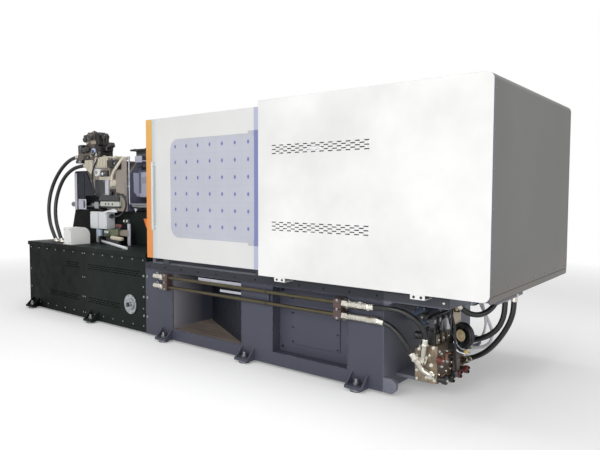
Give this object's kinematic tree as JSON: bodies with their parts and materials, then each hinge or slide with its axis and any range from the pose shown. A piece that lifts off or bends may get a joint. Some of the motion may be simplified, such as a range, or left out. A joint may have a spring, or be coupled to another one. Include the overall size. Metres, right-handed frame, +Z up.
{
  "type": "injection moulding machine",
  "caption": "Horizontal injection moulding machine: double toggle clamp under a fixed cover, sliding gates, injection unit on a cabinet base, pipes and hoses at the clamp end.",
  "frame": {"origin": "on the floor under the middle of the machine, hoses left out", "axes": "+X towards the clamp end, -Y the rear side that the picture shows, +Z up"},
  "size_m": [6.1598, 1.9, 2.253],
  "materials": {
    "bed_grey": "dark blue-grey enamel",
    "chute_dark": "dark sheet steel",
    "cabinet_dark": "dark green-black enamel",
    "stainless": "turned stainless",
    "zinc": "zinc plated",
    "platen_cast": "painted casting, machined face",
    "chrome_bar": "hard chromed bar",
    "nut_steel": "blackened steel",
    "cylinder_grey": "grey enamel",
    "link_steel": "machined casting",
    "ejector_steel": "ground steel",
    "cover_white": "white powder coat",
    "cover_grey": "grey powder coat",
    "track_steel": "grey enamel",
    "gate_white": "white powder coat",
    "window_film": "polycarbonate under pale protective film",
    "window_clear": "clear polycarbonate",
    "edge_orange": "orange powder coat",
    "pipe_bronze": "olive-bronze plated pipe",
    "clamp_brown": "red-brown clamp",
    "fitting_zinc": "yellow zinc plated",
    "manifold_tan": "tan passivated block",
    "valve_dark": "black valve coils",
    "filter_black": "black enamel",
    "cooler_blue": "blue-grey enamel",
    "unit_rods": "ground rods in dark supports",
    "housing_beige": "beige painted casting",
    "barrel_steel": "steel barrel with heater bands",
    "guard_lilac": "pale lilac sheet",
    "throat_dark": "dark casting",
    "stack_tan": "tan valve bodies",
    "ram_cast": "grey casting",
    "motor_navy": "navy enamel",
    "screw_steel": "nitrided steel",
    "hood_white": "white powder coat",
    "terminal_white": "white powder coat",
    "panel_grey": "light grey powder coat",
    "stop_red": "red button",
    "hose_black": "black rubber hose",
    "tube_grey": "pale grey tube"
  },
  "bodies": {
    "machine_base": {"clamp_bed": "bed_grey", "drop_chute": "chute_dark", "injection_bed": "cabinet_dark", "rear_panel_left": "cabinet_dark", "rear_panel_right": "cabinet_dark", "tank_port": "stainless", "levelling_pads": "zinc", "stationary_platen": "platen_cast", "tie_bars": "chrome_bar", "cover_side_rear": "cover_white", "cover_side_operator": "cover_white", "cover_top": "cover_white", "cover_end": "cover_grey", "gate_tracks": "track_steel", "upper_pipe": "pipe_bronze", "lower_pipe": "pipe_bronze", "pipe_clamps": "clamp_brown", "pipe_fittings": "fitting_zinc", "manifold_block": "manifold_tan", "manifold_valves": "valve_dark", "oil_filter": "filter_black", "oil_cooler": "cooler_blue", "injection_guide_rods": "unit_rods", "hood": "hood_white", "terminal_box": "terminal_white", "control_panel": "panel_grey", "upper_pipe_hose": "hose_black", "lower_pipe_hose": "hose_black", "loop_hose": "hose_black", "end_hose_outer": "hose_black", "end_hose_inner": "hose_black", "grey_tube": "tube_grey", "injection_hose_outer": "hose_black", "injection_hose_inner": "hose_black"},
    "tail_unit": {"tail_platen": "platen_cast", "adjusting_nuts": "nut_steel", "clamp_cylinder": "cylinder_grey"},
    "upper_rear_link": {"upper_rear_links": "link_steel"},
    "upper_front_link": {"upper_front_links": "link_steel"},
    "upper_small_link": {"upper_small_links": "link_steel"},
    "lower_rear_link": {"lower_rear_links": "link_steel"},
    "lower_front_link": {"lower_front_links": "link_steel"},
    "lower_small_link": {"lower_small_links": "link_steel"},
    "moving_platen": {"moving_platen": "platen_cast"},
    "crosshead": {"crosshead": "link_steel"},
    "ejector": {"ejector": "ejector_steel"},
    "rear_gate": {"rear_gate": "gate_white", "rear_gate_window": "window_film", "rear_gate_edge": "edge_orange"},
    "operator_gate": {"operator_gate": "gate_white", "operator_gate_window": "window_clear"},
    "carriage": {"injection_housing": "housing_beige", "barrel": "barrel_steel", "barrel_guard": "guard_lilac", "throat_block": "throat_dark", "valve_stack": "stack_tan"},
    "ram": {"ram": "ram_cast", "motor_cover": "motor_navy"},
    "screw": {"screw": "screw_steel"},
    "stop_button": {"emergency_stop": "stop_red"}
  },
  "joints": [
    {"name": "mould_height", "type": "slide", "parent": "machine_base", "child": "tail_unit", "axis": [1, 0, 0], "range_m": [-0.15, 0.3]},
    {"name": "clamp_close", "type": "hinge", "parent": "tail_unit", "child": "upper_rear_link", "pos_m": [1.33, 0, 1.95], "axis": [0, 1, 0], "range_deg": [0, 75]},
    {"name": "upper_knee", "type": "hinge", "parent": "upper_rear_link", "child": "upper_front_link", "pos_m": [1.23683, 0, 1.60227], "axis": [0, 1, 0], "range_deg": [-150, 0]},
    {"name": "upper_platen_pivot", "type": "hinge", "parent": "upper_front_link", "child": "moving_platen", "pos_m": [1.14365, 0, 1.95], "axis": [0, 1, 0], "range_deg": [0, 75]},
    {"name": "upper_ear_pivot", "type": "hinge", "parent": "upper_rear_link", "child": "upper_small_link", "pos_m": [1.33, 0, 1.75], "axis": [0, 1, 0], "range_deg": [-150, 0]},
    {"name": "upper_crosshead_pivot", "type": "hinge", "parent": "upper_small_link", "child": "crosshead", "pos_m": [1.33, 0, 1.95], "axis": [0, 1, 0], "range_deg": [0, 75]},
    {"name": "lower_tail_pivot", "type": "hinge", "parent": "tail_unit", "child": "lower_rear_link", "pos_m": [1.33, 0, 1.06], "axis": [0, 1, 0], "range_deg": [-75, 0]},
    {"name": "lower_knee", "type": "hinge", "parent": "lower_rear_link", "child": "lower_front_link", "pos_m": [1.23683, 0, 1.40773], "axis": [0, 1, 0], "range_deg": [0, 150]},
    {"name": "lower_ear_pivot", "type": "hinge", "parent": "lower_rear_link", "child": "lower_small_link", "pos_m": [1.33, 0, 1.26], "axis": [0, 1, 0], "range_deg": [0, 150]},
    {"name": "ejector_stroke", "type": "slide", "parent": "moving_platen", "child": "ejector", "axis": [1, 0, 0], "range_m": [-0.12, 0]},
    {"name": "rear_gate_slide", "type": "slide", "parent": "machine_base", "child": "rear_gate", "axis": [1, 0, 0], "range_m": [0, 1.05]},
    {"name": "operator_gate_slide", "type": "slide", "parent": "machine_base", "child": "operator_gate", "axis": [1, 0, 0], "range_m": [0, 1.05]},
    {"name": "carriage_slide", "type": "slide", "parent": "machine_base", "child": "carriage", "axis": [1, 0, 0], "range_m": [0, 0.25], "deforming": ["injection_hose_outer", "injection_hose_inner"]},
    {"name": "injection_stroke", "type": "slide", "parent": "carriage", "child": "ram", "axis": [1, 0, 0], "range_m": [-0.16, 0]},
    {"name": "screw_turn", "type": "hinge", "parent": "ram", "child": "screw", "pos_m": [-2.2, 0, 1.505], "axis": [1, 0, 0], "continuous": true},
    {"name": "stop_press", "type": "slide", "parent": "machine_base", "child": "stop_button", "axis": [0, 0.9935, 0.114], "range_m": [-0.006, 0], "stiffness_N_per_m": 900}
  ],
  "couplings": [
    {"joint": "upper_knee", "follows": "clamp_close", "ratio": -2},
    {"joint": "upper_platen_pivot", "follows": "clamp_close", "ratio": 1},
    {"joint": "upper_ear_pivot", "follows": "clamp_close", "ratio": -2},
    {"joint": "upper_crosshead_pivot", "follows": "clamp_close", "ratio": 1},
    {"joint": "lower_tail_pivot", "follows": "clamp_close", "ratio": -1},
    {"joint": "lower_knee", "follows": "clamp_close", "ratio": 2},
    {"joint": "lower_ear_pivot", "follows": "clamp_close", "ratio": 2}
  ]
}
